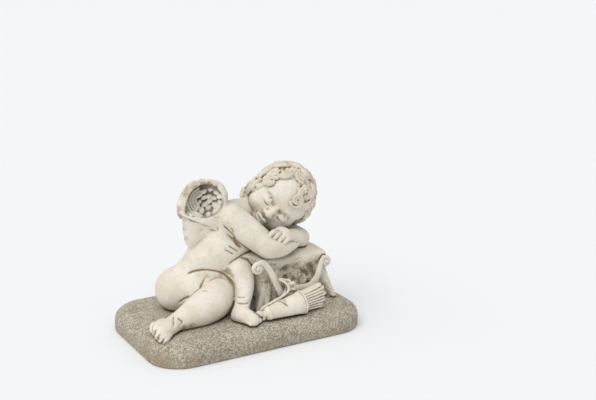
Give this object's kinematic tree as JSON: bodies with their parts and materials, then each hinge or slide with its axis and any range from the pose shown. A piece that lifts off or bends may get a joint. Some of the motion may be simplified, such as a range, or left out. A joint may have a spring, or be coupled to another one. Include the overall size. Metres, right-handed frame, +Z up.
{
  "type": "cherub garden statue",
  "caption": "Sleeping winged child in cast stone, head and crossed arms on a rock, with a bow and a quiver on a low pillow-shaped plinth; stands by its own weight on a flat underside",
  "frame": {"origin": "centre of the plinth's flat underside", "axes": "+X along the plinth's long side towards the sleeping head, -Y out of the side that the figure faces, +Z up"},
  "size_m": [0.42, 0.273, 0.3054],
  "materials": {
    "cast_stone": null
  },
  "bodies": {
    "root": {"cherub_statue": "cast_stone"}
  },
  "joints": []
}
